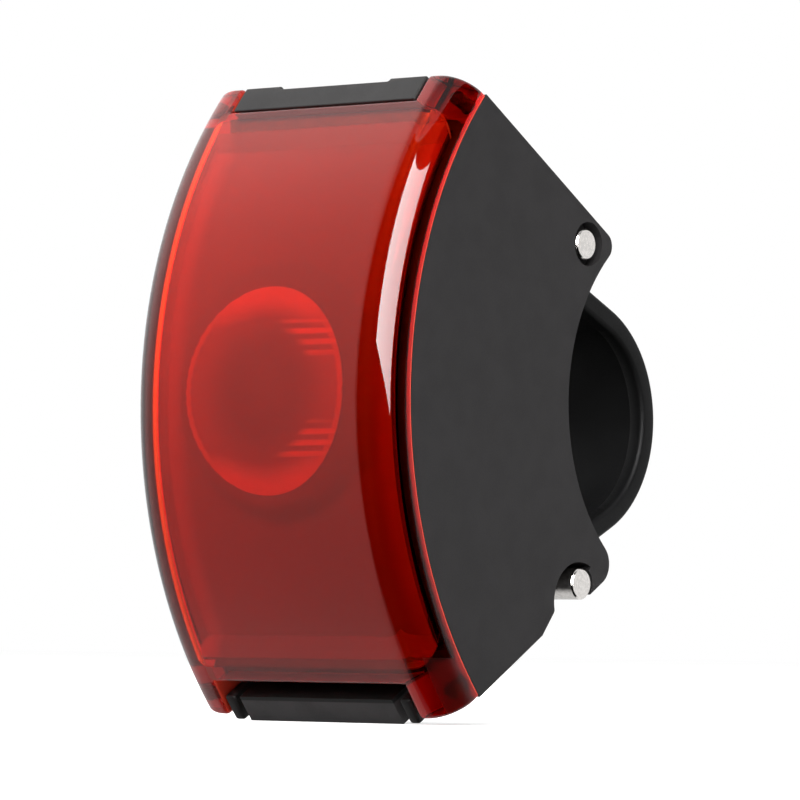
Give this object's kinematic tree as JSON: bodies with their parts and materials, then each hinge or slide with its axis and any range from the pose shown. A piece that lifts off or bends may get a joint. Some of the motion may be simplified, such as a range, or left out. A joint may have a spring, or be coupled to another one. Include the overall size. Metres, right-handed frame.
{
  "type": "bike rear light",
  "caption": "Bicycle rear light: curved red lens on a fan-shaped black housing with a post saddle, rubber strap loop, hooked steel bar, port cover and push button.",
  "frame": {"origin": "on the axis of the seat post that the saddle fits, at mid width", "axes": "+X along the post's axis, -Y the way the lens faces, +Z towards the port cover's end"},
  "size_m": [0.0266, 0.0403, 0.0505],
  "materials": {
    "black_plastic": "fine matte texture",
    "cover_plastic": "satin",
    "button_plastic": "satin",
    "red_lens": "clear red, satin front and polished edges",
    "red_optic": "fluted",
    "panel_plastic": "satin",
    "bowl_chrome": "bright",
    "black_rubber": "matte",
    "seal_rubber": "matte",
    "steel": "turned ends",
    "screw_steel": "bright zinc",
    "socket_steel": "bright",
    "board_green": "solder mask",
    "chip_black": "moulded",
    "lamp_amber": "clear resin",
    "cell_foil": "laminated foil",
    "foam": "open foam",
    "wire_red": "sleeved",
    "flex_amber": "film",
    "plunger_red": "moulded"
  },
  "bodies": {
    "housing": {"housing": "black_plastic", "lens": "red_lens", "lens_gasket": "seal_rubber", "reflector_panel": "panel_plastic", "reflector_bowl": "bowl_chrome", "optic_disc": "red_optic", "led_emitter": "lamp_amber", "side_leds": "lamp_amber", "main_board": "board_green", "driver_chips": "chip_black", "board_screws": "screw_steel", "battery_cell": "cell_foil", "battery_pad": "foam", "battery_leads": "wire_red", "port_board": "board_green", "usb_socket": "socket_steel", "usb_tongue": "chip_black", "port_flex": "flex_amber", "cover_pin": "steel", "switch_board": "board_green", "tact_switch": "chip_black", "switch_flex": "flex_amber", "button_bezel": "black_plastic", "button_seal": "seal_rubber", "upper_pin": "steel"},
    "button": {"power_button": "button_plastic", "switch_plunger": "plunger_red"},
    "cover": {"port_cover": "cover_plastic", "cover_seal": "seal_rubber"},
    "strap_end": {"hook_bar": "steel", "strap": "black_rubber"}
  },
  "joints": [
    {"name": "button_press", "type": "slide", "parent": "housing", "child": "button", "axis": [0, -0.5299, 0.848], "range_m": [0, 0.0008], "stiffness_N_per_m": 2000},
    {"name": "cover_hinge", "type": "hinge", "parent": "housing", "child": "cover", "pos_m": [0, -0.01995, 0.01742], "axis": [-1, 0, 0], "range_deg": [0, 95]},
    {"name": "strap_unhook", "type": "slide", "parent": "housing", "child": "strap_end", "axis": [0, -0.6198, -0.7848], "range_m": [0, 0.006], "stiffness_N_per_m": 600, "deforming": ["strap"]}
  ]
}
